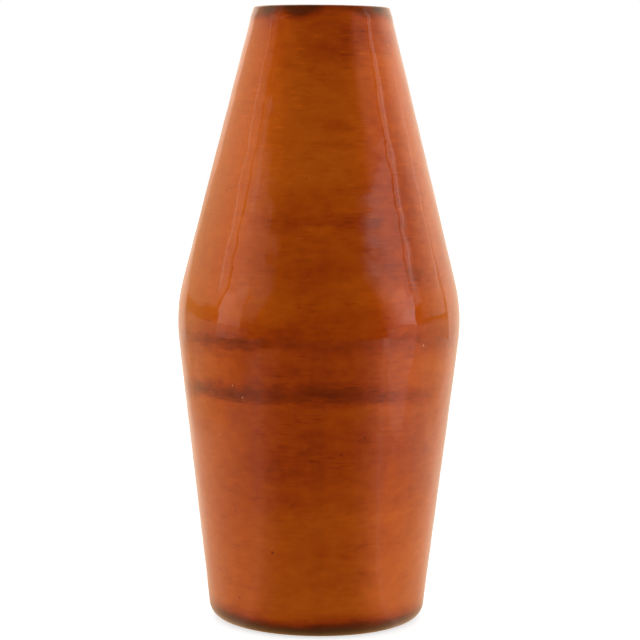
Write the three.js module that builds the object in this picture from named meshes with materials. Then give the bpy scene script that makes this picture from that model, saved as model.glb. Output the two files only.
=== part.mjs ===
// Enamelled copper vase: a tall shouldered vessel with a straight conical neck.
// Two spun copper shells are brazed edge to edge below the shoulder. Glass enamel is fused to the
// outside, to the inside and to the hollow under the foot. The copper stays bare only where it stands.
// Millimetres, +Z up. The origin is the middle of the foot ring, on the surface that the vase stands on.
import * as THREE from "three";

// Outside of the vase, as a radius at a height
const vaseHeight = 260;
const mouthRadius = 28.6; // where the neck's straight side reaches the level of the rim
const shoulderHeight = 132.3; // where the straight sides of the neck and the body would cross
const shoulderRadius = 61.1; // radius of that crossing, before the shoulder is rounded
const shoulderRound = 72.5;
const baseRadius = 45.4; // where the body's straight side reaches the floor, before its corner is rounded
const cornerRound = 7;

// Layers of the wall
const copperThickness = 0.9;
const outerCoat = 0.45;
const innerCoat = 0.4;
const footCoat = 0.4;

// Seam between the two shells
const seamDrop = 31; // below the shoulder's crossing
const seamWidthOutside = 1.2;
const seamWidthInside = 2.4;
const weldCrown = 0.35; // how far the braze stands out of the inner face of the copper

// Foot
const footRingWidth = 3.2; // flat ring of bare copper that the vase stands on
const hollowSlopeWidth = 4;
const hollowDepth = 2;
const coatEndAngle = THREE.MathUtils.degToRad(72); // how far round the corner the outer coat reaches

// Facets
const facetsAround = 48;
const cornerSteps = 4;
const shoulderSteps = 4;
const lipSteps = 4; // over the copper's rounded edge, an even share of half a turn each
const lipSeamStep = 3; // the step of the edge where the outer coat meets the inner coat

// Directions of the two straight sides
const neckSlope = Math.atan2(shoulderRadius - mouthRadius, vaseHeight - shoulderHeight);
const bodySlope = Math.atan2(shoulderRadius - baseRadius, shoulderHeight);
const seamHeight = shoulderHeight - seamDrop;
const innerDepth = outerCoat + copperThickness; // from the outer face to the copper's inner face
const wallDepth = innerDepth + innerCoat;

function point(radius, height) {
  return new THREE.Vector2(radius, height);
}

// A point on a circle in the plane of the section, at an angle above the horizontal
function onRound(centre, radius, angle) {
  return point(centre.x + radius * Math.cos(angle), centre.y + radius * Math.sin(angle));
}

// Evenly spaced values from first to last, both included
function spread(first, last, steps) {
  return Array.from({ length: steps + 1 }, (_, i) => first + ((last - first) * i) / steps);
}

// A point of the neck's or the body's straight side, moved inwards by a depth square to that side
function onNeck(height, depth) {
  const outside = mouthRadius + (vaseHeight - height) * Math.tan(neckSlope);
  return point(outside - depth / Math.cos(neckSlope), height);
}

function onBody(height, depth) {
  const outside = baseRadius + height * Math.tan(bodySlope);
  return point(outside - depth / Math.cos(bodySlope), height);
}

// The shoulder: one round, tangent to both straight sides, at any depth in the wall
const shoulderReach = shoulderRound * Math.tan((neckSlope + bodySlope) / 2);
const shoulderStart = onBody(shoulderHeight - shoulderReach * Math.cos(bodySlope), 0);
const shoulderCentre = onRound(shoulderStart, -shoulderRound, -bodySlope);

function shoulderPoints(depth) {
  return spread(-bodySlope, neckSlope, shoulderSteps).map((angle) =>
    onRound(shoulderCentre, shoulderRound - depth, angle),
  );
}

// The corner at the foot. The coat and the copper turn it with the same round, set in by the coat, so
// that the coat thins out towards the floor. Inside, the corner follows the copper at an even distance.
const cornerReach = cornerRound * Math.tan((Math.PI / 2 - bodySlope) / 2);

function cornerCentre(depth) {
  return point(onBody(0, depth).x - cornerReach, cornerRound);
}

function cornerPoints(centre, radius) {
  return spread(-coatEndAngle, -bodySlope, cornerSteps).map((angle) => onRound(centre, radius, angle));
}

const copperCorner = cornerCentre(outerCoat);
const copperCornerPoints = cornerPoints(copperCorner, cornerRound);
const innerCornerPoints = cornerPoints(copperCorner, cornerRound - copperThickness);
const coatCornerPoints = cornerPoints(cornerCentre(0), cornerRound);
const liningCornerPoints = cornerPoints(copperCorner, cornerRound - copperThickness - innerCoat);

// The foot ring and the shallow hollow inside it
const ringOuter = copperCorner.x;
const ringInner = ringOuter - footRingWidth;
const hollowEdge = ringInner - hollowSlopeWidth;
const footCoatEdge = hollowEdge + (hollowSlopeWidth * footCoat) / hollowDepth;

function floorPoints(lift) {
  return [
    point(0, hollowDepth + lift),
    point(hollowEdge, hollowDepth + lift),
    point(ringInner, lift),
    point(ringOuter, lift),
  ];
}

// The lip: the copper's edge is fully rounded, and the coats run over it and meet on its inner side.
// Angles on the lip count from the outward side of the neck, over the top, to the inward side.
function lipCoatAt(turn) {
  return THREE.MathUtils.lerp(outerCoat, innerCoat, turn / Math.PI);
}

const straightUp = Math.PI / 2 - neckSlope;
const lipRise = copperThickness / 2 + lipCoatAt(straightUp);
const lipCentre = onNeck(vaseHeight - lipRise, outerCoat + copperThickness / 2);
const lipSeamTurn = (Math.PI * lipSeamStep) / lipSteps;

function onLip(turn, radius) {
  return onRound(lipCentre, radius, neckSlope + turn);
}

const copperLipPoints = spread(0, Math.PI, lipSteps).map((turn) => onLip(turn, copperThickness / 2));

function coatedLipPoints(turns) {
  return turns.map((turn) => onLip(turn, copperThickness / 2 + lipCoatAt(turn)));
}

// The seam: a groove that is wider inside, filled with braze that stands a little proud there
const weldOutsideLow = onBody(seamHeight - seamWidthOutside / 2, outerCoat);
const weldOutsideHigh = onBody(seamHeight + seamWidthOutside / 2, outerCoat);
const weldInsideLow = onBody(seamHeight - seamWidthInside / 2, innerDepth);
const weldInsideHigh = onBody(seamHeight + seamWidthInside / 2, innerDepth);
const weldTop = onBody(seamHeight, innerDepth + weldCrown);

// Copper faces that the coats lie on, each listed from the foot upwards
const copperOutside = [
  ...copperCornerPoints,
  weldOutsideLow,
  weldOutsideHigh,
  ...shoulderPoints(outerCoat),
  ...copperLipPoints.slice(0, lipSeamStep + 1),
];
const copperInside = [
  ...floorPoints(copperThickness),
  ...innerCornerPoints,
  weldInsideLow,
  weldTop,
  weldInsideHigh,
  ...shoulderPoints(innerDepth),
  ...copperLipPoints.slice(lipSeamStep).reverse(),
];

// Section of each piece, run round anticlockwise, with the axis of the vase on its left
const lowerShellSection = [
  point(0, hollowDepth),
  point(hollowEdge, hollowDepth),
  point(footCoatEdge, hollowDepth - footCoat),
  point(ringInner, 0),
  point(ringOuter, 0),
  ...copperCornerPoints,
  weldOutsideLow,
  weldInsideLow,
  ...innerCornerPoints.toReversed(),
  ...floorPoints(copperThickness).toReversed(),
];

const upperShellSection = [
  weldOutsideHigh,
  ...shoulderPoints(outerCoat),
  ...copperLipPoints,
  ...shoulderPoints(innerDepth).toReversed(),
  weldInsideHigh,
  weldOutsideHigh,
];

const seamWeldSection = [
  weldOutsideLow,
  weldOutsideHigh,
  weldInsideHigh,
  weldTop,
  weldInsideLow,
  weldOutsideLow,
];

const outerCoatSection = [
  ...coatCornerPoints,
  ...shoulderPoints(0),
  ...coatedLipPoints([...spread(0, straightUp, 3), ...spread(straightUp, lipSeamTurn, 2).slice(1)]),
  ...copperOutside.toReversed(),
  coatCornerPoints[0],
];

const innerCoatSection = [
  ...copperInside,
  ...coatedLipPoints(spread(lipSeamTurn, Math.PI, 2)),
  ...shoulderPoints(wallDepth).toReversed(),
  onBody(seamHeight + seamWidthInside / 2, wallDepth),
  onBody(seamHeight, wallDepth + weldCrown),
  onBody(seamHeight - seamWidthInside / 2, wallDepth),
  ...liningCornerPoints.toReversed(),
  ...floorPoints(copperThickness + innerCoat).toReversed(),
];

const footCoatSection = [
  point(0, hollowDepth - footCoat),
  point(footCoatEdge, hollowDepth - footCoat),
  point(hollowEdge, hollowDepth),
  point(0, hollowDepth),
];

// Materials
const copper = new THREE.MeshStandardMaterial({ color: 0xb06a45, roughness: 0.4, metalness: 1 });
const braze = new THREE.MeshStandardMaterial({ color: 0xc9a36a, roughness: 0.5, metalness: 1 });
const orangeEnamel = new THREE.MeshStandardMaterial({ color: 0xa8480c, roughness: 0.08, metalness: 0.2 });
const brownEnamel = new THREE.MeshStandardMaterial({ color: 0x2e1509, roughness: 0.15, metalness: 0 });

// A closed section turned once round the vase's axis
function turned(name, section, material) {
  const geometry = new THREE.LatheGeometry(section, facetsAround);
  geometry.rotateX(Math.PI / 2);
  const mesh = new THREE.Mesh(geometry, material);
  mesh.name = name;
  return mesh;
}

const vase = new THREE.Group();
vase.add(
  turned("lower_shell", lowerShellSection, copper),
  turned("upper_shell", upperShellSection, copper),
  turned("seam_weld", seamWeldSection, braze),
  turned("outer_enamel", outerCoatSection, orangeEnamel),
  turned("inner_enamel", innerCoatSection, brownEnamel),
  turned("foot_enamel", footCoatSection, brownEnamel),
);

export default vase;
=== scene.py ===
# %% [markdown]
# # An enamelled copper vase
# The vase is spun from two copper shells that are brazed together a little under the shoulder. Orange
# glass is fused to its outside, and brown glass to its inside and to the hollow under its foot. The
# fixed frame already says where each piece is. This notebook gives the six pieces fine round meshes,
# paints the glass and the copper with nodes, and lights them with a tent of soft white panels.

# %% Load the fixed frame
import math

import bpy
from mathutils import Matrix


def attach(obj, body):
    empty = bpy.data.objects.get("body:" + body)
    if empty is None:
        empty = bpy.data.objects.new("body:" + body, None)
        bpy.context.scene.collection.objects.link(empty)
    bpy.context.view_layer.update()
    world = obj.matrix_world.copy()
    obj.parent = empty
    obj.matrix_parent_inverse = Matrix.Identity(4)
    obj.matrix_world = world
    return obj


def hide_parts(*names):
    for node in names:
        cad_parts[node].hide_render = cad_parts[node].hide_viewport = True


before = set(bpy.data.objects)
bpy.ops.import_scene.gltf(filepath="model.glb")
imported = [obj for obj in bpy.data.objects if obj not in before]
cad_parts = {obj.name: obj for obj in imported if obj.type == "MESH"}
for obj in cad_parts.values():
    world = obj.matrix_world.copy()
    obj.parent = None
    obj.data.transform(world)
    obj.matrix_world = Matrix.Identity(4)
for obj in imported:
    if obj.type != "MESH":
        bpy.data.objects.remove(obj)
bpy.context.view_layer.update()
print("pieces in the frame:", sorted(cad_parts))

# %% [markdown]
# # The outline of the vase
# A spinner turns copper over a wooden form, so every piece is a section turned round one axis. The
# outside is two straight sides, one leaning in over the neck and one leaning out over the body, with a
# round between them and a small round at the foot. Each layer of the wall is the same outline moved
# inwards, so the helpers take a depth in the wall.

# %% Driving sizes, in metres
mm = 0.001
vase_height = 260 * mm
mouth_radius = 28.6 * mm
shoulder_height = 132.3 * mm
shoulder_radius = 61.1 * mm
shoulder_round = 72.5 * mm
base_radius = 45.4 * mm
corner_round = 7 * mm

# %% Layers of the wall
copper_thickness = 0.9 * mm
outer_coat = 0.45 * mm
inner_coat = 0.4 * mm
foot_coat = 0.4 * mm
inner_depth = outer_coat + copper_thickness
wall_depth = inner_depth + inner_coat

# %% The two straight sides
neck_slope = math.atan2(shoulder_radius - mouth_radius, vase_height - shoulder_height)
body_slope = math.atan2(shoulder_radius - base_radius, shoulder_height)


def on_neck(height, depth):
    outside = mouth_radius + (vase_height - height) * math.tan(neck_slope)
    return (outside - depth / math.cos(neck_slope), height)


def on_body(height, depth):
    outside = base_radius + height * math.tan(body_slope)
    return (outside - depth / math.cos(body_slope), height)


print("the neck leans in by", round(math.degrees(neck_slope), 2), "degrees")
print("the body leans out by", round(math.degrees(body_slope), 2), "degrees")

# %% Rounds are arcs from one angle to another, counted from level
def on_round(centre, radius, angle):
    return (centre[0] + radius * math.cos(angle), centre[1] + radius * math.sin(angle))


def arc(centre, radius, first, last, steps):
    return [on_round(centre, radius, first + (last - first) * i / steps) for i in range(steps + 1)]


# %% The shoulder's round, at any depth in the wall
shoulder_steps = 14
shoulder_reach = shoulder_round * math.tan((neck_slope + body_slope) / 2)
shoulder_start = on_body(shoulder_height - shoulder_reach * math.cos(body_slope), 0)
shoulder_centre = on_round(shoulder_start, -shoulder_round, -body_slope)


def shoulder(depth):
    return arc(shoulder_centre, shoulder_round - depth, -body_slope, neck_slope, shoulder_steps)


widest = max(point[0] for point in shoulder(0))
print("the shoulder is", round(2 * widest / mm, 2), "mm across")

# %% The corner at the foot, where the coat thins out towards the floor
corner_steps = 10
coat_end_angle = math.radians(72)
corner_reach = corner_round * math.tan((math.pi / 2 - body_slope) / 2)


def corner_centre(depth):
    return (on_body(0, depth)[0] - corner_reach, corner_round)


def corner(centre, radius):
    return arc(centre, radius, -coat_end_angle, -body_slope, corner_steps)


copper_corner = corner_centre(outer_coat)

# %% The foot ring and the shallow hollow inside it
foot_ring_width = 3.2 * mm
hollow_slope_width = 4 * mm
hollow_depth = 2 * mm
ring_outer = copper_corner[0]
ring_inner = ring_outer - foot_ring_width
hollow_edge = ring_inner - hollow_slope_width
foot_coat_edge = hollow_edge + hollow_slope_width * foot_coat / hollow_depth


def bottom(lift):
    hollow_top = hollow_depth + lift
    return [(0, hollow_top), (hollow_edge, hollow_top), (ring_inner, lift), (ring_outer, lift)]


print("the foot ring is", round(2 * ring_outer / mm, 1), "mm across")

# %% The lip, where the coats run over the copper's rounded edge and meet on its inner side
lip_steps = 8
straight_up = math.pi / 2 - neck_slope
lip_seam_turn = 0.75 * math.pi


def lip_coat(turn):
    return outer_coat + (inner_coat - outer_coat) * turn / math.pi


lip_rise = copper_thickness / 2 + lip_coat(straight_up)
lip_centre = on_neck(vase_height - lip_rise, outer_coat + copper_thickness / 2)


def turns(first, last, steps):
    return [first + (last - first) * i / steps for i in range(steps + 1)]


def over_lip(first, last, coated):
    points = []
    for turn in turns(first, last, lip_steps):
        cover = lip_coat(turn) if coated else 0
        points.append(on_round(lip_centre, copper_thickness / 2 + cover, neck_slope + turn))
    return points


# %% The braze between the two shells, a groove that is wider inside
seam_height = shoulder_height - 31 * mm
seam_half_outside = 0.6 * mm
seam_half_inside = 1.2 * mm
weld_crown = 0.35 * mm
weld_outside_low = on_body(seam_height - seam_half_outside, outer_coat)
weld_outside_high = on_body(seam_height + seam_half_outside, outer_coat)
weld_inside_low = on_body(seam_height - seam_half_inside, inner_depth)
weld_inside_high = on_body(seam_height + seam_half_inside, inner_depth)
weld_top = on_body(seam_height, inner_depth + weld_crown)

# %% [markdown]
# # Turning a section into a piece
# By hand, a turned piece is started from one point: a plane is added and merged to its middle, and the
# point is extruded from place to place along half of the section. Long straight stretches are then
# divided, so that the faces are about as tall as they are wide, and Spin turns the section round the
# axis. Spin leaves double points on the axis and where the turn closes, so doubles are merged before the
# normals are recalculated. A piece whose section closes on itself comes out as a ring without holes.

# %% Draw a section from one point
def draw_section(name, points):
    bpy.ops.object.select_all(action="DESELECT")
    bpy.ops.mesh.primitive_plane_add(size=mm, location=(points[0][0], 0, points[0][1]))
    piece = bpy.context.object
    piece.name = name
    piece.data.name = name
    bpy.ops.object.transform_apply(location=True, rotation=False, scale=False)
    bpy.ops.object.mode_set(mode="EDIT")
    bpy.ops.mesh.select_all(action="SELECT")
    bpy.ops.mesh.merge(type="CENTER")
    for here, there in zip(points, points[1:]):
        step = (there[0] - here[0], 0, there[1] - here[1])
        bpy.ops.mesh.extrude_region_move(TRANSFORM_OT_translate={"value": step})
    bpy.ops.object.mode_set(mode="OBJECT")
    return piece


# %% Divide the long straight stretches
longest_edge = 2.1 * mm


def edge_length(piece, edge):
    first, last = (piece.data.vertices[i].co for i in edge.vertices)
    return (last - first).length


def select_edges(piece, wanted):
    for vertex in piece.data.vertices:
        vertex.select = False
    for edge in piece.data.edges:
        edge.select = edge.index in wanted
        if edge.select:
            for i in edge.vertices:
                piece.data.vertices[i].select = True


def divide_long_edges(piece):
    while True:
        lengths = {edge.index: edge_length(piece, edge) for edge in piece.data.edges}
        longest = max(lengths.values())
        if longest <= longest_edge:
            return
        cuts = math.ceil(longest / longest_edge) - 1
        alike = {i for i, length in lengths.items() if length > longest * 0.999}
        select_edges(piece, alike)
        bpy.ops.object.mode_set(mode="EDIT")
        bpy.ops.mesh.subdivide(number_cuts=cuts)
        bpy.ops.object.mode_set(mode="OBJECT")


# %% Spin the section round the axis
steps_round = 192


def spin_round(piece):
    bpy.ops.object.mode_set(mode="EDIT")
    bpy.ops.mesh.select_all(action="SELECT")
    bpy.ops.mesh.remove_doubles(threshold=0.001 * mm)
    bpy.ops.mesh.spin(steps=steps_round, angle=math.tau, center=(0, 0, 0), axis=(0, 0, 1))
    bpy.ops.mesh.select_all(action="SELECT")
    bpy.ops.mesh.remove_doubles(threshold=0.001 * mm)
    bpy.ops.mesh.normals_make_consistent(inside=False)
    bpy.ops.mesh.select_all(action="DESELECT")
    bpy.ops.mesh.select_non_manifold()
    bpy.ops.object.mode_set(mode="OBJECT")
    open_points = sum(vertex.select for vertex in piece.data.vertices)
    print(piece.name, len(piece.data.polygons), "faces, open points:", open_points)


def turned(name, points):
    piece = draw_section(name, points)
    divide_long_edges(piece)
    spin_round(piece)
    bpy.ops.object.shade_smooth_by_angle(angle=math.radians(35))
    return piece


# %% [markdown]
# # The copper shells and the braze
# The lower shell is one sheet: the body, the rounded corner, the foot ring and the hollow bottom. The
# upper shell is the neck, the shoulder and a short skirt. Their fine meshes have the frame's sections
# with rounder corners, so they take the frame nodes' places.

# %% Lower shell
lower_section = [
    (0, hollow_depth),
    (hollow_edge, hollow_depth),
    (foot_coat_edge, hollow_depth - foot_coat),
    (ring_inner, 0),
    (ring_outer, 0),
    *corner(copper_corner, corner_round),
    weld_outside_low,
    weld_inside_low,
    *reversed(corner(copper_corner, corner_round - copper_thickness)),
    *reversed(bottom(copper_thickness)),
]
lower_shell = turned("spun_lower_shell", lower_section)

# %% Upper shell
upper_section = [
    weld_outside_high,
    *shoulder(outer_coat),
    *over_lip(0, math.pi, coated=False),
    *reversed(shoulder(inner_depth)),
    weld_inside_high,
    weld_outside_high,
]
upper_shell = turned("spun_upper_shell", upper_section)

# %% Ring of braze
braze_section = [
    weld_outside_low,
    weld_outside_high,
    weld_inside_high,
    weld_top,
    weld_inside_low,
    weld_outside_low,
]
braze_ring = turned("brazed_seam", braze_section)

# %% [markdown]
# # The coats of enamel
# The glass lies on the copper all over, so each coat's inner face has the copper's own section. On the
# outside the molten glass drew up into a soft roll under the lip, and the fire left its surface a little
# wavy, as on any hand-fired piece. The roll is part of the section. The waves are a Displace modifier
# with a cloud pattern, which only moves the points on the outside.

# %% The roll of glass under the lip
roll_height = 6 * mm
roll_swell = 0.15 * mm
roll_steps = 8


def lip_roll():
    """The last stretch of the neck, swelling out and back in again below the lip."""
    points = []
    top = on_round(lip_centre, copper_thickness / 2 + outer_coat, neck_slope)[1]
    for i in range(roll_steps):
        share = i / roll_steps
        swell = roll_swell * math.sin(math.pi * share) ** 2
        points.append(on_neck(top - roll_height * (1 - share), -swell))
    return points


# %% Outer coat
copper_outside = [
    *corner(copper_corner, corner_round),
    weld_outside_low,
    weld_outside_high,
    *shoulder(outer_coat),
    *over_lip(0, lip_seam_turn, coated=False),
]
outer_section = [
    *corner(corner_centre(0), corner_round),
    *shoulder(0),
    *lip_roll(),
    *over_lip(0, lip_seam_turn, coated=True),
    *reversed(copper_outside),
    corner(corner_centre(0), corner_round)[0],
]
outer_enamel = turned("fired_outer_coat", outer_section)

# %% Inner coat
copper_inside = [
    *bottom(copper_thickness),
    *corner(copper_corner, corner_round - copper_thickness),
    weld_inside_low,
    weld_top,
    weld_inside_high,
    *shoulder(inner_depth),
    *reversed(over_lip(lip_seam_turn, math.pi, coated=False)),
]
inner_section = [
    *copper_inside,
    *over_lip(lip_seam_turn, math.pi, coated=True),
    *reversed(shoulder(wall_depth)),
    on_body(seam_height + seam_half_inside, wall_depth),
    on_body(seam_height, wall_depth + weld_crown),
    on_body(seam_height - seam_half_inside, wall_depth),
    *reversed(corner(copper_corner, corner_round - copper_thickness - inner_coat)),
    *reversed(bottom(copper_thickness + inner_coat)),
]
inner_enamel = turned("fired_lining", inner_section)

# %% Coat in the hollow of the foot
foot_section = [
    (0, hollow_depth - foot_coat),
    (foot_coat_edge, hollow_depth - foot_coat),
    (hollow_edge, hollow_depth),
    (0, hollow_depth),
]
foot_enamel = turned("fired_foot_coat", foot_section)

# %% Which points of the outer coat lie on its outside
wave_fade = 8 * mm


def outside_radius(height):
    """The outline's radius at a height, above the corner."""
    body_end, neck_start = shoulder(0)[0], shoulder(0)[-1]
    if height < body_end[1]:
        return on_body(height, 0)[0]
    if height > neck_start[1]:
        return on_neck(height, 0)[0]
    rise = height - shoulder_centre[1]
    return shoulder_centre[0] + math.sqrt(shoulder_round**2 - rise**2)


def group_outside(piece, name):
    group = piece.vertex_groups.new(name=name)
    count = 0
    for vertex in piece.data.vertices:
        x, y, z = vertex.co
        from_ends = min(z - corner_round, vase_height - z) / wave_fade
        if outside_radius(z) - math.hypot(x, y) < outer_coat / 2 and from_ends > 0:
            group.add([vertex.index], min(1, from_ends), "REPLACE")
            count += 1
    print(count, "points lie on the outside of the coat")


group_outside(outer_enamel, "outside")

# %% Waves that the fire left in the glass
wave_contrast = 1.6


def wave(piece, group, size, swing, seed_shift):
    """Moves the group's points in and out by half of swing, in a cloud pattern of that size."""
    clouds = bpy.data.textures.new("fire waves", "CLOUDS")
    clouds.noise_scale = size
    clouds.noise_depth = 1
    clouds.contrast = wave_contrast
    before = [vertex.co.copy() for vertex in piece.data.vertices]
    anchor = bpy.data.objects.new("wave_anchor", None)
    anchor.location = seed_shift
    bpy.context.scene.collection.objects.link(anchor)
    bpy.context.view_layer.update()
    bpy.context.view_layer.objects.active = piece
    displace = piece.modifiers.new("fire waves", "DISPLACE")
    displace.texture = clouds
    displace.texture_coords = "OBJECT"
    displace.texture_coords_object = anchor
    displace.vertex_group = group
    displace.mid_level = 0.5
    displace.strength = swing
    bpy.ops.object.modifier_apply(modifier=displace.name)
    bpy.data.objects.remove(anchor)
    moved = [(vertex.co - old).length for vertex, old in zip(piece.data.vertices, before)]
    print("waves of", size / mm, "mm move points by up to", round(max(moved) / mm, 3), "mm")


wave(outer_enamel, "outside", 7 * mm, 0.12 * mm, (0.31, 0.12, 0.07))
wave(outer_enamel, "outside", 38 * mm, 0.16 * mm, (0.13, 0.41, 0.23))

# %% Every fine piece takes its frame node's place
stand_ins = [
    (lower_shell, "lower_shell", "copper"),
    (upper_shell, "upper_shell", "copper"),
    (braze_ring, "seam_weld", "braze"),
    (outer_enamel, "outer_enamel", "orange_enamel"),
    (inner_enamel, "inner_enamel", "lining_enamel"),
    (foot_enamel, "foot_enamel", "foot_enamel"),
]
for piece, node_name, slot_name in stand_ins:
    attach(piece, "root")
    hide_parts(node_name)
    print(piece.name, "stands for", node_name)

# %% [markdown]
# # Painting with nodes
# The finishes are procedural: each is a small graph of nodes that works out a colour from the place on
# the piece. A few helpers keep the graphs short: one adds a node and fills its inputs, one does sums, one
# stretches a noise to a wanted size in millimetres, and one fills a colour ramp with its stops.

# %% Add a node
def node(tree, kind, inputs=None, **settings):
    """Adds a shader node. Each input is a value or another node's output."""
    made = tree.nodes.new("ShaderNode" + kind)
    for name, value in settings.items():
        setattr(made, name, value)
    for socket, value in (inputs or {}).items():
        if isinstance(value, bpy.types.NodeSocket):
            tree.links.new(value, made.inputs[socket])
        else:
            made.inputs[socket].default_value = value
    return made


def sum_of(tree, operation, first, second=0.0, third=0.0):
    return node(tree, "Math", {0: first, 1: second, 2: third}, operation=operation).outputs[0]


# %% Where a point lies on the vase
def place_on(tree):
    """The point, its angle round the axis from the front towards the right, and its height."""
    point = node(tree, "TexCoord").outputs["Object"]
    parts = node(tree, "SeparateXYZ", {0: point})
    back = sum_of(tree, "MULTIPLY", parts.outputs["Y"], -1.0)
    angle = sum_of(tree, "ARCTAN2", parts.outputs["X"], back)
    return point, angle, parts.outputs["Z"]


def from_axis(tree, point):
    """How far a point lies from the upright axis."""
    flat = node(tree, "VectorMath", {0: point, 1: (1, 1, 0)}, operation="MULTIPLY").outputs[0]
    return node(tree, "VectorMath", {0: flat}, operation="LENGTH").outputs["Value"]


# %% Noise of a size given round and up the vase
def noise(tree, point, across, up, detail=2.0, rough=0.5, shift=(0.0, 0.0, 0.0)):
    scale = (1 / across, 1 / across, 1 / up)
    moved = node(tree, "Mapping", {"Vector": point, "Location": shift, "Scale": scale})
    inputs = {"Vector": moved.outputs[0], "Scale": 1.0, "Detail": detail, "Roughness": rough}
    return node(tree, "TexNoise", inputs).outputs[0]


def spread(tree, value, low, high, to_low=0.0, to_high=1.0):
    """Stretches a value from one span to another, with soft ends."""
    inputs = {"Value": value, "From Min": low, "From Max": high, "To Min": to_low, "To Max": to_high}
    return node(tree, "MapRange", inputs, interpolation_type="SMOOTHSTEP").outputs[0]


# %% Fill a colour ramp
def fill_ramp(made, stops):
    """Gives a ramp its stops, each a position from 0 to 1 and a colour."""
    elements = made.color_ramp.elements
    elements[0].position, elements[0].color = stops[0]
    elements[1].position, elements[1].color = stops[-1]
    for position, shade in stops[1:-1]:
        elements.new(position).color = shade


# %% Start a material with its glossy surface
def empty_tree(owner):
    """Switches on the nodes of a material or the world, and clears the ready-made ones away."""
    owner.use_nodes = True
    owner.node_tree.nodes.clear()
    return owner.node_tree


def socket_name(word):
    return word.replace("_", " ").title().replace("Ior", "IOR")


def new_finish(name, **sockets):
    """A material with one Principled shader, whose plain numbers are set on its own sockets."""
    material = bpy.data.materials.new(name)
    tree = empty_tree(material)
    surface = node(tree, "BsdfPrincipled")
    node(tree, "OutputMaterial", {"Surface": surface.outputs[0]})
    for socket, value in sockets.items():
        surface.inputs[socket_name(socket)].default_value = value
    return material, tree, surface


# %% [markdown]
# # The orange enamel
# Transparent orange glass lies over bright copper that still shows the lines of the spinning tool. Light
# goes down to the copper and back, so the colour follows the thickness of the glass: amber where it is
# thin and red-brown where it is thick. One value from 0 to 1, the depth of the colour, is gathered from
# noises and from named marks, and a ramp turns it into a colour. Some of that value is painted light: the
# light scratches and the lighter tool lines are painted glints of the copper, pale places on the flanks
# are partly painted sheen, and a pale band round the lower body is painted light from the floor. Where the
# fire burnt the glass, at the lip, along the brazed seam and at the foot, a second value, the burn,
# carries the depth on towards black. The copper under the glass gives the base its metallic share, and
# the smooth top of the glass is the shader's clear coat. Seen at a slant, the glass turns paler and more
# golden, which the shader's sheen gives, so no node has to ask from where the vase is seen.

# %% Soft marks placed one by one
def mark(tree, place, angle, height, half_angle, half_height, softness=0.5):
    """A soft oval mark, 1 in its middle and 0 outside. Angles are in degrees and heights in mm."""
    middle = (math.radians(angle), height * mm, 0.0)
    size = (math.radians(half_angle), half_height * mm, 1.0)
    off = node(tree, "VectorMath", {0: place, 1: middle}, operation="SUBTRACT").outputs[0]
    shares = node(tree, "VectorMath", {0: off, 1: size}, operation="DIVIDE").outputs[0]
    far = node(tree, "VectorMath", {0: shares}, operation="LENGTH").outputs["Value"]
    return spread(tree, far, 1 - softness, 1 + softness, 1.0, 0.0)


def add_marks(tree, place, start, marks):
    """Adds each mark, times its strength, to a starting value."""
    total = start
    for strength, angle, height, half_angle, half_height, softness in marks:
        found = mark(tree, place, angle, height, half_angle, half_height, softness)
        total = sum_of(tree, "MULTIPLY_ADD", found, strength, total)
    return total


# %% Burnt marks along the seam and at the lip: strength, angle, height, half angle, half height, softness
seam_marks = [
    (0.36, -66, 101.8, 16, 3.0, 0.7),
    (0.28, -49, 101.6, 16, 3.0, 0.7),
    (0.16, -36, 99.8, 12, 2.0, 0.6),
    (0.22, -30, 101.8, 14, 2.8, 0.7),
    (0.30, -8, 102.4, 18, 4.0, 0.7),
    (0.10, 12, 103.0, 14, 4.4, 0.7),
    (0.22, 20, 102.6, 14, 3.8, 0.7),
    (0.26, 38, 101.4, 12, 3.0, 0.7),
    (0.14, 52, 102.0, 10, 2.8, 0.7),
    (0.35, 110, 101.0, 30, 2.6, 0.6),
    (0.45, 146, 102.0, 20, 3.2, 0.6),
    (0.40, -126, 101.4, 32, 2.8, 0.6),
]
lip_marks = [
    (0.80, -68, 260.8, 33, 6.0, 0.5),
    (0.30, -44, 256.0, 9, 4.0, 0.7),
    (0.80, -18, 260.8, 17, 6.2, 0.5),
    (0.40, 8, 260.6, 14, 4.0, 0.6),
    (0.66, 40, 260.6, 20, 5.6, 0.5),
    (0.80, 73, 260.6, 22, 5.8, 0.5),
    (0.80, 130, 260.6, 30, 5.4, 0.5),
    (0.88, -144, 260.8, 22, 5.8, 0.5),
]
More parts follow.
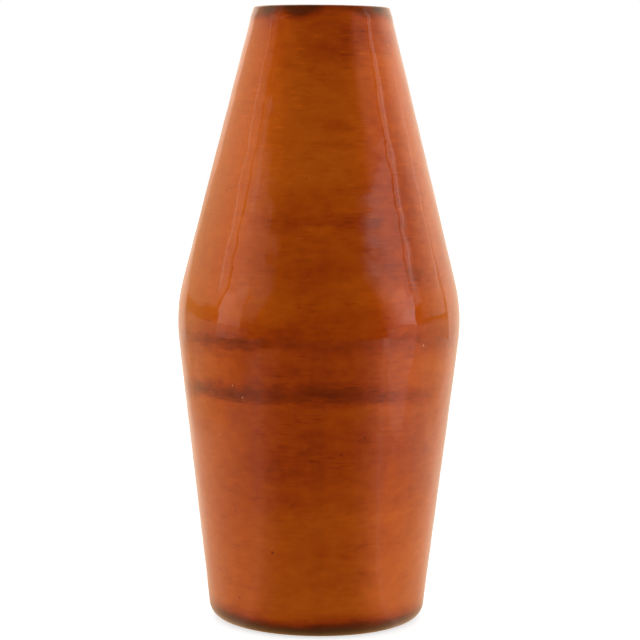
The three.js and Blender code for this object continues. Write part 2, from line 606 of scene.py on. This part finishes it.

# %% Deeper and paler parts of the colour, in the same order
# Pale places on the flanks are partly painted sheen of the panes' light; the pale band round the lower
# body is painted light from the floor.
depth_and_painted_light_marks = [
    (0.08, 0, 142.0, 400, 26.0, 0.8),
    (-0.10, 0, 205.0, 400, 34.0, 0.8),
    (-0.13, -66, 200.0, 36, 70.0, 0.6),
    (-0.12, -86, 176.0, 12, 44.0, 0.7),
    (0.24, 40, 184.0, 18, 36.0, 0.7),
    (-0.10, 20, 146.0, 18, 6.0, 0.8),
    (-0.24, -56, 140.0, 40, 10.0, 0.8),
    (-0.10, 68, 140.0, 26, 14.0, 0.8),
    (0.16, -52, 123.2, 34, 2.6, 0.7),
    (0.10, 0, 124.0, 40, 3.6, 0.8),
    (0.08, 62, 124.0, 34, 4.5, 0.8),
    (-0.10, -60, 112.0, 22, 4.6, 0.6),
    (-0.08, 58, 113.0, 24, 5.0, 0.7),
    (0.10, -6, 112.0, 38, 8.0, 0.8),
    (0.08, -22, 80.0, 18, 20.0, 0.8),
    (0.10, 6, 80.0, 34, 20.0, 0.8),
    (0.14, 12, 172.6, 17, 3.2, 0.5),
    (0.08, -20, 172.0, 12, 3.4, 0.6),
    (0.12, 10, 209.8, 9, 2.6, 0.5),
    (0.10, 10, 203.0, 10, 2.0, 0.6),
    (0.16, 8, 246.0, 20, 8.0, 0.8),
    (0.14, -54, 250.0, 26, 5.0, 0.8),
    (0.16, 54, 250.0, 26, 7.0, 0.8),
    (0.08, -36, 224.0, 14, 12.0, 0.8),
    (-0.05, -14, 218.0, 16, 12.0, 0.8),
    (-0.06, -4, 194.0, 36, 7.0, 0.8),
    (0.06, 4, 181.0, 30, 6.0, 0.8),
    (-0.12, 52, 161.0, 14, 7.0, 0.7),
    (-0.08, -16, 159.0, 8, 5.0, 0.7),
    (0.07, -28, 130.0, 16, 4.0, 0.8),
    (-0.06, 36, 140.0, 40, 5.0, 0.8),
    (0.08, -50, 104.6, 14, 2.4, 0.7),
    (0.06, 4, 105.5, 12, 3.0, 0.7),
    (0.06, -24, 104.6, 34, 2.4, 0.7),
    (-0.10, -72, 66.0, 18, 26.0, 0.8),
    (-0.06, 62, 42.0, 20, 14.0, 0.8),
    (-0.12, 12, 15.0, 30, 6.0, 0.8),
    (-0.10, -68, 15.0, 20, 6.0, 0.8),
    (-0.06, -62, 160.0, 24, 10.0, 0.8),
    (0.07, -12, 54.0, 9, 12.0, 0.8),
    (0.08, 50, 80.0, 10, 14.0, 0.8),
    (-0.08, 16, 50.0, 26, 6.0, 0.8),
    (-0.08, 60, 18.0, 30, 12.0, 0.8),
    (0.12, 134, 125.0, 26, 5.0, 0.7),
    (-0.10, 120, 60.0, 30, 22.0, 0.8),
    (0.10, -138, 190.0, 22, 14.0, 0.8),
    (-0.08, 0, 20.0, 400, 24.0, 0.8),
]

# %% Where the burnt foot reaches higher, in the same order
foot_marks = [
    (0.34, 12, 7.2, 15, 3.2, 0.7),
    (0.26, 56, 7.0, 30, 3.0, 0.7),
    (0.36, -66, 6.6, 30, 3.4, 0.7),
    (0.14, -14, 5.0, 14, 2.6, 0.7),
    (0.20, 130, 6.4, 28, 3.0, 0.7),
    (0.20, -126, 6.4, 30, 3.0, 0.7),
]

# %% Small dark pits and pale specks: angle, height, radius in mm
pits = [
    (-21.4, 36.4, 0.6),
    (-42.7, 14.8, 0.5),
    (-40.8, 52.4, 0.4),
    (10.1, 78.5, 0.45),
    (19.9, 85.3, 0.45),
    (-7.6, 138.6, 0.35),
    (-32.7, 4.8, 0.4),
    (-53.3, 183.8, 0.35),
    (-6.8, 189.7, 0.3),
    (140, 60.0, 0.5),
    (-120, 150.0, 0.45),
    (100, 205.0, 0.35),
]
specks = [
    (45.7, 121.9, 0.4),
    (-37.1, 105.3, 0.3),
    (-32.4, 100.7, 0.3),
    (-47.0, 83.8, 0.25),
]


def dots(tree, place, spots):
    """1 in the middle of each spot and 0 elsewhere."""
    total = 0.0
    for angle, height, radius in spots:
        half_angle = math.degrees(radius * mm / outside_radius(height * mm))
        total = sum_of(tree, "MAXIMUM", mark(tree, place, angle, height, half_angle, radius, 0.7), total)
    return total


# %% The orange enamel's graph
orange, tree, surface = new_finish(
    "orange enamel over copper",
    metallic=0.6,
    roughness=0.46,
    anisotropic=0.4,
    anisotropic_rotation=0.25,
    specular_ior_level=0.0,
    specular_tint=(1.0, 0.6, 0.5, 1.0),
    sheen_weight=0.8,
    sheen_roughness=0.5,
    sheen_tint=(0.95, 0.47, 0.14, 1.0),
    coat_weight=1.0,
    coat_roughness=0.025,
    coat_ior=1.5,
)
point, angle, height = place_on(tree)
round_axis = node(tree, "Tangent", direction_type="RADIAL", axis="Z")
tree.links.new(round_axis.outputs[0], surface.inputs["Tangent"])

# %% Lines of the spinning tool, seen through the glass in patches; their lighter streaks are partly painted glints
lines = noise(tree, point, 9 * mm, 1.5 * mm, detail=2, rough=0.5)
fine_lines = noise(tree, point, 6 * mm, 0.8 * mm, detail=1, shift=(7, 3, 1))
patches = noise(tree, point, 26 * mm, 12 * mm, detail=2, shift=(1, 5, 9))
shown = spread(tree, patches, 0.42, 0.62, 0.15, 1.0)
line_sum = sum_of(tree, "MULTIPLY_ADD", fine_lines, 0.5, lines)
line_sum = sum_of(tree, "SUBTRACT", line_sum, 0.75)
# The lighter of these streaks are partly painted glints of the copper under the glass.
tool_lines_and_glints = sum_of(tree, "MULTIPLY", line_sum, shown)

# %% Short dark scratches that come in groups, and light ones that are painted glints of the copper
scratch_field = noise(tree, point, 7 * mm, 1.1 * mm, detail=2, rough=0.5, shift=(2, 8, 6))
groups = spread(tree, noise(tree, point, 20 * mm, 9 * mm, detail=2, shift=(6, 6, 2)), 0.48, 0.62)
dark_scratch = sum_of(tree, "MULTIPLY", spread(tree, scratch_field, 0.52, 0.72), groups)
# The light scratches are painted glints of the copper under the glass, stronger up the neck.
painted_glint_scratch = spread(tree, scratch_field, 0.40, 0.24)
glint_up_the_neck = spread(tree, height, 150 * mm, 185 * mm, 0.6, 1.7)
painted_glint_scratch = sum_of(tree, "MULTIPLY", painted_glint_scratch, glint_up_the_neck)

# %% Slow changes in the thickness of the glass, and its finer mottling
soft_bands = noise(tree, point, 60 * mm, 8 * mm, detail=3, shift=(3, 9, 4))
clouds = noise(tree, point, 24 * mm, 24 * mm, detail=3, rough=0.6, shift=(5, 1, 8))
mottle = noise(tree, point, 6 * mm, 4 * mm, detail=4, rough=0.6, shift=(8, 2, 7))

# %% A place that wanders a little, so that the marks have ragged edges
ragged = noise(tree, point, 7 * mm, 2.0 * mm, detail=4, rough=0.7, shift=(2, 6, 3))
ragged_wide = noise(tree, point, 22 * mm, 22 * mm, detail=1, shift=(9, 2, 5))
ragged_reach = 7 * mm
wide_reach = 4 * mm
wander = sum_of(tree, "MULTIPLY_ADD", ragged, ragged_reach, height)
wander = sum_of(tree, "MULTIPLY_ADD", ragged_wide, wide_reach, wander)
wander = sum_of(tree, "SUBTRACT", wander, (ragged_reach + wide_reach) / 2)
mark_place = node(tree, "CombineXYZ", {"X": angle, "Y": wander}).outputs[0]
true_place = node(tree, "CombineXYZ", {"X": angle, "Y": height}).outputs[0]

# %% A calmer place for the lip and the foot, which wander less
wander_share = 0.35
calm = node(tree, "Mix", {0: wander_share, 4: true_place, 5: mark_place}, data_type="VECTOR").outputs[1]
calm_height = node(tree, "SeparateXYZ", {0: calm}).outputs["Y"]

# %% Gather the depth of the colour, with the painted glints and painted sheen among its parts
mean_depth = 0.42
line_shares = [(tool_lines_and_glints, 0.20), (dark_scratch, 0.10), (painted_glint_scratch, -0.08)]
cloud_shares = [(soft_bands, 0.18), (clouds, 0.28), (mottle, 0.31)]
depth = mean_depth - 0.5 * sum(share for _, share in cloud_shares)
for pattern, share in line_shares + cloud_shares:
    depth = sum_of(tree, "MULTIPLY_ADD", pattern, share, depth)
depth = add_marks(tree, mark_place, depth, depth_and_painted_light_marks)

# %% The burn: streaky marks, the band at the foot and the thin line over the lip
foot_black_height, foot_clear_height = 1.6 * mm, 9.1 * mm
line_start, line_full = vase_height - 1.1 * mm, vase_height - 0.3 * mm
line_strength = 0.7
pit_strength = 0.5
most_burn = 0.97
soot = noise(tree, point, 5 * mm, 0.9 * mm, detail=4, rough=0.65, shift=(4, 9, 1))
seam_burn = add_marks(tree, mark_place, 0.0, seam_marks)
seam_burn = sum_of(tree, "MULTIPLY", seam_burn, spread(tree, soot, 0.30, 0.66, 0.75, 1.15))
foot_burn = spread(tree, calm_height, foot_black_height, foot_clear_height, 1.0, 0.0)
foot_burn = add_marks(tree, calm, foot_burn, foot_marks)
lip_line = spread(tree, height, line_start, line_full, 0.0, line_strength)
lip_burn = sum_of(tree, "MAXIMUM", add_marks(tree, calm, 0.0, lip_marks), lip_line)
burn = sum_of(tree, "MAXIMUM", sum_of(tree, "MAXIMUM", seam_burn, foot_burn), lip_burn)
pit_depth = dots(tree, true_place, pits)
burn = sum_of(tree, "MULTIPLY_ADD", pit_depth, pit_strength, burn)
burn = sum_of(tree, "MINIMUM", burn, most_burn)
unburnt = sum_of(tree, "SUBTRACT", 1.0, burn)
depth = sum_of(tree, "MULTIPLY_ADD", depth, unburnt, burn)

# %% From depth to colour
glass = node(tree, "ValToRGB", {0: depth})
glass_stops = [
    (0.00, (0.96, 0.165, 0.010, 1)),
    (0.22, (0.78, 0.138, 0.004, 1)),
    (0.40, (0.66, 0.096, 0.001, 1)),
    (0.58, (0.50, 0.052, 0.001, 1)),
    (0.78, (0.23, 0.020, 0.001, 1)),
    (1.00, (0.036, 0.010, 0.004, 1)),
]
fill_ramp(glass, glass_stops)

# %% The pale specks lie over that colour
speck_share = dots(tree, true_place, specks)
pale = (0.84, 0.36, 0.18, 1)
colour = node(tree, "Mix", {0: speck_share, 6: glass.outputs[0], 7: pale}, data_type="RGBA")
tree.links.new(colour.outputs[2], surface.inputs["Base Color"])

# %% The tool's lines also bend the light under the glass, and the top of the glass has slight ripples
groove_depth = 0.010 * mm
peel_depth = 0.026 * mm
pit_hollow = 4.0
groove = sum_of(tree, "ADD", lines, fine_lines)
under = node(tree, "Bump", {"Height": groove, "Strength": 1.0, "Distance": groove_depth})
tree.links.new(under.outputs[0], surface.inputs["Normal"])
peel = noise(tree, point, 3.4 * mm, 2.6 * mm, detail=2, shift=(4, 4, 1))
relief = sum_of(tree, "MULTIPLY_ADD", pit_depth, -pit_hollow, peel)
over = node(tree, "Bump", {"Height": relief, "Strength": 1.0, "Distance": peel_depth})
tree.links.new(over.outputs[0], surface.inputs["Coat Normal"])
outer_enamel.data.materials.append(orange)
print("orange enamel has", len(tree.nodes), "nodes")

# %% [markdown]
# # The other finishes
# The lining and the foot are dark brown counter enamel, which an enameller fires on the side that isn't
# shown, so that the metal doesn't warp. It is glossy and a little uneven. The bare copper shows at the
# foot ring, where it rubs on the table, and keeps the fine rings of the spinning tool.

# %% Brown counter enamel
def counter_enamel(name, dark, light, size):
    material, tree, surface = new_finish(name, roughness=0.35, coat_weight=1.0, coat_roughness=0.06)
    point = place_on(tree)[0]
    cloud = noise(tree, point, size, size, detail=5, rough=0.65)
    rings = noise(tree, point, 30 * mm, 0.8 * mm, detail=2)
    mixed = sum_of(tree, "MULTIPLY_ADD", rings, 0.5, cloud)
    share = spread(tree, mixed, 0.45, 1.05)
    blend = node(tree, "Mix", {0: share, 6: (*dark, 1), 7: (*light, 1)}, data_type="RGBA")
    tree.links.new(blend.outputs[2], surface.inputs["Base Color"])
    bump = node(tree, "Bump", {"Height": cloud, "Strength": 1.0, "Distance": 0.05 * mm})
    tree.links.new(bump.outputs[0], surface.inputs["Normal"])
    tree.links.new(bump.outputs[0], surface.inputs["Coat Normal"])
    return material


inner_enamel.data.materials.append(
    counter_enamel("brown lining enamel", (0.020, 0.007, 0.004), (0.090, 0.028, 0.010), 9 * mm)
)
foot_enamel.data.materials.append(
    counter_enamel("brown foot enamel", (0.014, 0.006, 0.004), (0.070, 0.024, 0.010), 5 * mm)
)

# %% Spun copper and braze
def turned_metal(name, bright, dull, ring):
    material, tree, surface = new_finish(name, metallic=1.0, anisotropic=0.6)
    point, _, height = place_on(tree)
    across = node(tree, "CombineXYZ", {"X": from_axis(tree, point), "Y": height}).outputs[0]
    rings = noise(tree, across, ring, ring, detail=3)
    tarnish = noise(tree, point, 6 * mm, 6 * mm, detail=5, rough=0.6)
    share = spread(tree, tarnish, 0.4, 0.65)
    blend = node(tree, "Mix", {0: share, 6: (*bright, 1), 7: (*dull, 1)}, data_type="RGBA")
    tree.links.new(blend.outputs[2], surface.inputs["Base Color"])
    tree.links.new(spread(tree, tarnish, 0.3, 0.7, 0.25, 0.5), surface.inputs["Roughness"])
    bump = node(tree, "Bump", {"Height": rings, "Strength": 1.0, "Distance": 0.03 * mm})
    tree.links.new(bump.outputs[0], surface.inputs["Normal"])
    return material


copper_metal = turned_metal("spun copper", (0.72, 0.36, 0.22), (0.38, 0.15, 0.08), 0.5 * mm)
braze_metal = turned_metal("braze", (0.78, 0.58, 0.30), (0.42, 0.26, 0.12), 0.9 * mm)
lower_shell.data.materials.append(copper_metal)
upper_shell.data.materials.append(copper_metal)
braze_ring.data.materials.append(braze_metal)

# %% [markdown]
# # The camera
# The photograph looks slightly down on the vase from a little under a metre, through a long lens, and
# leans by half a degree. The camera has the same place and lens, and the picture is taken to be 640 by
# 640 pixels.

# %% Camera
image_side = 640
focal_pixels = 2199.3
camera_distance = 934.2 * mm
camera_height = 221.5 * mm
pitch_down = 0.1000
roll = 0.0090
axis_left_of_middle = 1.1

camera_data = bpy.data.cameras.new("camera")
camera_data.sensor_width = 36
camera_data.lens = focal_pixels / image_side * camera_data.sensor_width
camera = bpy.data.objects.new("camera", camera_data)
bpy.context.scene.collection.objects.link(camera)
yaw = Matrix.Rotation(-axis_left_of_middle / focal_pixels, 4, "Z")
tilt = Matrix.Rotation(math.pi / 2 - pitch_down, 4, "X")
lean = Matrix.Rotation(roll, 4, "Z")
camera.matrix_world = Matrix.Translation((0, -camera_distance, camera_height)) @ yaw @ tilt @ lean
bpy.context.scene.camera = camera
print("lens", round(camera_data.lens, 1), "mm")

# %% [markdown]
# # The light tent
# The glass mirrors its surroundings, so the light is built as the photograph's reflections show it: soft
# white cloths to the left, to the right and behind, with narrow dark gaps between them, and darkness in
# front, where the camera stands. The tent is one upright ring round the vase that the camera doesn't
# see. Its light is painted on it as panes, each with soft or sharp edges, and the rest of it is black to
# the glass. Where two panes overlap, the brighter one counts. Seams and folds of the cloth that shine more
# brightly are added on top. Matt surfaces see an even white tent instead.

# %% The ring of the tent
tent_radius = 800 * mm
tent_height = 2400 * mm
tent_sides = 96
bpy.ops.object.select_all(action="DESELECT")
bpy.ops.mesh.primitive_cylinder_add(
    vertices=tent_sides,
    radius=tent_radius,
    depth=tent_height,
    end_fill_type="NOTHING",
    location=(0, 0, tent_height / 2),
)
tent = bpy.context.object
tent.name = "light_tent"
bpy.ops.object.transform_apply(location=True, rotation=False, scale=False)
tent.visible_camera = False

# %% One pane of light on the ring, with its heights in mm
level_low = 180
level_high = 400
lean_pivot = 300


def pane(tree, angle, height, span, levels, rise, sides, ends, lean):
    """A soft rectangle of light, from one azimuth to another and from one height to another.

    Its two levels hold at its first and its last side, and rise is what it gains with height. Sides and
    ends give the softness of each edge. Lean turns its sides with height, in degrees per metre.
    """
    first, last = (math.radians(value) for value in span)
    soft_first, soft_last = (math.radians(value) for value in sides)
    (low, soft_low), (high, soft_high) = ends
    turn = math.radians(lean) * mm
    leaned = sum_of(tree, "MULTIPLY_ADD", height, -turn, angle)
    leaned = sum_of(tree, "ADD", leaned, turn * lean_pivot)
    light = spread(tree, leaned, first, last, *levels)
    gained = spread(tree, height, level_low, level_high, 1 - rise, 1 + rise)
    for edge in (
        gained,
        spread(tree, leaned, first - soft_first, first + soft_first),
        spread(tree, leaned, last - soft_last, last + soft_last, 1.0, 0.0),
        spread(tree, height, low - soft_low, low + soft_low),
        spread(tree, height, high - soft_high, high + soft_high, 1.0, 0.0),
    ):
        light = sum_of(tree, "MULTIPLY", light, edge)
    return light


# %% Ends that several panes share, each a height and its softness in mm
top = (2300, 99)
table = (-9, 3)
foot_ends = (table, (98, 12))

# %% The panes: azimuths, levels, rise, soft sides, soft ends, lean
panes = {
    "left outer": ((-146, -100), (0.36, 0.47), 0.2, (3, 3), ((166, 12), top), 30),
    "left outer side": ((-104, -84), (0.47, 0.46), 0.1, (3, 0.5), ((196, 26), (556, 60)), 30),
    "left outer top": ((-104, -84), (0.30, 0.20), 0.0, (3, 0.5), ((500, 60), top), 30),
    "left inner": ((-82.2, -60), (1.15, 0.62), 0.0, (0.7, 0.2), ((98, 8), (352, 24)), 26),
    "left upper": ((-82.3, -52), (0.70, 0.40), 0.0, (0.5, 0.4), ((345, 24), (500, 36)), 30),
    "left top": ((-82, -60), (0.42, 0.30), 0.0, (0.5, 0.4), ((480, 20), (534, 16)), 30),
    "left front": ((-58, -45.5), (0.38, 0.32), 0.1, (0.2, 3), ((152, 60), (470, 40)), 45),
    "right inner": ((56.8, 78), (1.35, 1.45), 0.0, (12, 1), ((98, 7), (392, 30)), -25),
    "right inner side": ((66, 82), (1.5, 1.5), 0.0, (4, 0.5), ((98, 7), (335, 30)), 0),
    "right upper": ((55, 81.8), (1.20, 0.98), 0.0, (12, 0.8), ((300, 30), (500, 24)), -20),
    "right high": ((60, 80), (1.2, 1.2), 0.0, (9, 3), ((445, 26), (500, 24)), -90),
    "right top": ((58, 82), (0.34, 0.36), 0.0, (8, 1), ((480, 20), (700, 60)), -20),
    "right edge": ((82.4, 91), (0.86, 0.55), 0.2, (0.8, 1.5), ((222, 12), (700, 60)), -12),
    "right outer": ((88, 121), (0.28, 0.84), 0.2, (2, 2), ((130, 3), top), -8),
    "left foot": ((-136, -88), (0.26, 0.34), 0.0, (2, 2), foot_ends, 0),
    "left foot bright": ((-89, -75), (0.60, 0.64), 0.0, (1.5, 2), foot_ends, 0),
    "left front foot": ((-76, -56), (0.42, 0.10), 0.0, (2, 2), foot_ends, 0),
    "left back foot": ((-164, -136), (1.00, 0.70), 0.0, (3, 2), (table, (196, 24)), 0),
    "right foot": ((56, 84), (0.60, 0.60), 0.0, (4, 1), foot_ends, 0),
    "right outer foot": ((84, 127), (0.40, 0.32), 0.0, (1, 2), foot_ends, 0),
    "back right": ((121, 260), (0.98, 1.70), 0.1, (2, 1), (table, top), -30),
    "back left": ((-270, -141), (2.15, 0.90), 0.35, (1, 5), (table, top), 45),
}
brighter = {
    "left edge": ((-93, -85), (0.12, 0.22), 0.0, (2, 0.6), ((308, 40), (480, 60)), 30),
    "left line": ((-90.5, -88.7), (0.70, 0.70), 0.0, (0.6, 0.6), ((325, 15), (640, 30)), 0),
    "left second line": ((-75, -70), (0.26, 0.26), 0.0, (0.6, 1.5), ((440, 15), (560, 15)), 20),
    "right line": ((84.5, 86.5), (0.85, 0.85), 0.0, (0.6, 0.6), ((355, 12), (600, 30)), 0),
    "right far line": ((117.6, 120), (0.50, 0.50), 0.0, (0.6, 0.6), ((250, 20), (430, 40)), 0),
    "left bright": ((-72, -62), (0.4, 0.5), 0.0, (3, 2), ((335, 30), (390, 30)), 0),
    "right block": ((70, 82), (0.3, 0.4), 0.0, (1, 1), ((125, 12), (215, 10)), 0),
}

tent_light = bpy.data.materials.new("white tent cloth")
tree = empty_tree(tent_light)
_, angle, height = place_on(tree)
height_in_mm = sum_of(tree, "DIVIDE", height, mm)
mirrored = 0.0
for shape in panes.values():
    mirrored = sum_of(tree, "MAXIMUM", pane(tree, angle, height_in_mm, *shape), mirrored)
for shape in brighter.values():
    mirrored = sum_of(tree, "ADD", pane(tree, angle, height_in_mm, *shape), mirrored)
print(len(panes), "panes of light on the tent, and", len(brighter), "brighter places")

# %% Even light for matt surfaces
matt_level = 0.95
matt_rays = node(tree, "LightPath").outputs["Is Diffuse Ray"]
level = node(tree, "Mix", {0: matt_rays, 2: mirrored, 3: matt_level}, data_type="FLOAT").outputs[0]
light = node(tree, "Emission", {"Color": (1, 1, 1, 1), "Strength": level})
node(tree, "OutputMaterial", {"Surface": light.outputs[0]})
tent.data.materials.append(tent_light)

# %% [markdown]
# # Floor and backdrop
# The floor is plain and pale, and white to the camera, with the vase's soft shadow on it. What the glass
# mirrors of it is painted light and shade that depends on the direction: white behind the vase, darker at
# the sides, with a painted bright strip and darker patches, and black in front, a painted darkness for the
# dark room where the camera stands. The world is white to the camera and to mirrored rays, and gives only
# part of that to matt surfaces, because the panels already light them.

# %% Which rays see the backdrop as white
def mirror_ray(tree):
    path = node(tree, "LightPath").outputs
    mirrored = sum_of(tree, "MAXIMUM", path["Is Glossy Ray"], path["Is Transmission Ray"])
    return path["Is Camera Ray"], mirrored


# %% Floor
floor_side = 8.0
floor_drop = 0.02 * mm
bpy.ops.object.select_all(action="DESELECT")
bpy.ops.mesh.primitive_plane_add(size=floor_side, location=(0, 0, -floor_drop))
floor = bpy.context.object
floor.name = "floor"
bpy.ops.object.transform_apply(location=True, rotation=False, scale=False)

floor_finish = bpy.data.materials.new("pale floor")
tree = empty_tree(floor_finish)
point, angle, _ = place_on(tree)
by_camera, by_mirror = mirror_ray(tree)
turn_share = sum_of(tree, "MULTIPLY_ADD", angle, 1 / math.tau, 0.5)
mirrored = node(tree, "ValToRGB", {0: turn_share})

# %% How bright the mirrored floor is in each direction: azimuth, level
floor_stops = [
    (-180, 1.10),
    (-150, 0.98),
    (-138, 0.80),
    (-118, 0.55),
    (-90, 0.44),
    (-72, 0.34),
    (-62, 0.28),
    (-52, 0.33),
    (-47, 0.31),
    (-43, 0.16),
    (-28, 0.02),
    (26, 0.02),
    (36, 0.10),
    (44, 0.22),
    (49, 0.30),
    (52, 0.54),
    (57, 0.42),
    (64, 0.39),
    (76, 0.40),
    (100, 0.50),
    (118, 0.66),
    (130, 0.80),
    (180, 1.00),
]
fill_ramp(mirrored, [(turn / 360 + 0.5, (grey, grey, grey, 1)) for turn, grey in floor_stops])

# %% Painted light and shade on the mirrored floor: strength, azimuth, distance, half angle, half width, softness
floor_light_and_shade_marks = [
    (-0.20, -95, 650, 60, 320, 0.12),
    (-0.20, -132, 700, 12, 300, 0.2),
    (0.42, 66.5, 650, 15, 360, 0.1),
    (0.12, 90, 310, 40, 60, 0.6),
    (-0.16, 112, 600, 16, 220, 0.2),
]
floor_place = node(tree, "CombineXYZ", {"X": angle, "Y": from_axis(tree, point)}).outputs[0]
floor_mirror = add_marks(tree, floor_place, mirrored.outputs[0], floor_light_and_shade_marks)
floor_mirror = sum_of(tree, "MAXIMUM", floor_mirror, 0.0)
camera_level = 0.66
matt_floor = 0.5
floor_paint = 0.8
unmirrored = sum_of(tree, "SUBTRACT", 1.0, by_mirror)
seen = sum_of(tree, "MULTIPLY_ADD", by_camera, camera_level - matt_floor, matt_floor)
seen = sum_of(tree, "MULTIPLY", seen, unmirrored)
level = sum_of(tree, "MULTIPLY_ADD", floor_mirror, by_mirror, seen)
glowing = node(tree, "Emission", {"Color": (1, 1, 1, 1), "Strength": level})
paint = sum_of(tree, "MULTIPLY", unmirrored, floor_paint)
lit = node(tree, "BsdfDiffuse", {"Color": paint})
both = node(tree, "AddShader", {0: glowing.outputs[0], 1: lit.outputs[0]})
node(tree, "OutputMaterial", {"Surface": both.outputs[0]})
floor.data.materials.append(floor_finish)

# %% World
world = bpy.data.worlds.new("white world")
bpy.context.scene.world = world
tree = empty_tree(world)
by_camera, by_mirror = mirror_ray(tree)
white_rays = sum_of(tree, "MAXIMUM", by_camera, by_mirror)
matt_share = 0.8
level = sum_of(tree, "MULTIPLY_ADD", white_rays, 1 - matt_share, matt_share)
backdrop = node(tree, "Background", {"Color": (1, 1, 1, 1), "Strength": level})
node(tree, "OutputWorld", {"Surface": backdrop.outputs[0]})

# %% [markdown]
# The picture keeps Blender's standard view, so colours come out as they are written.

bpy.context.scene.view_settings.view_transform = "Standard"
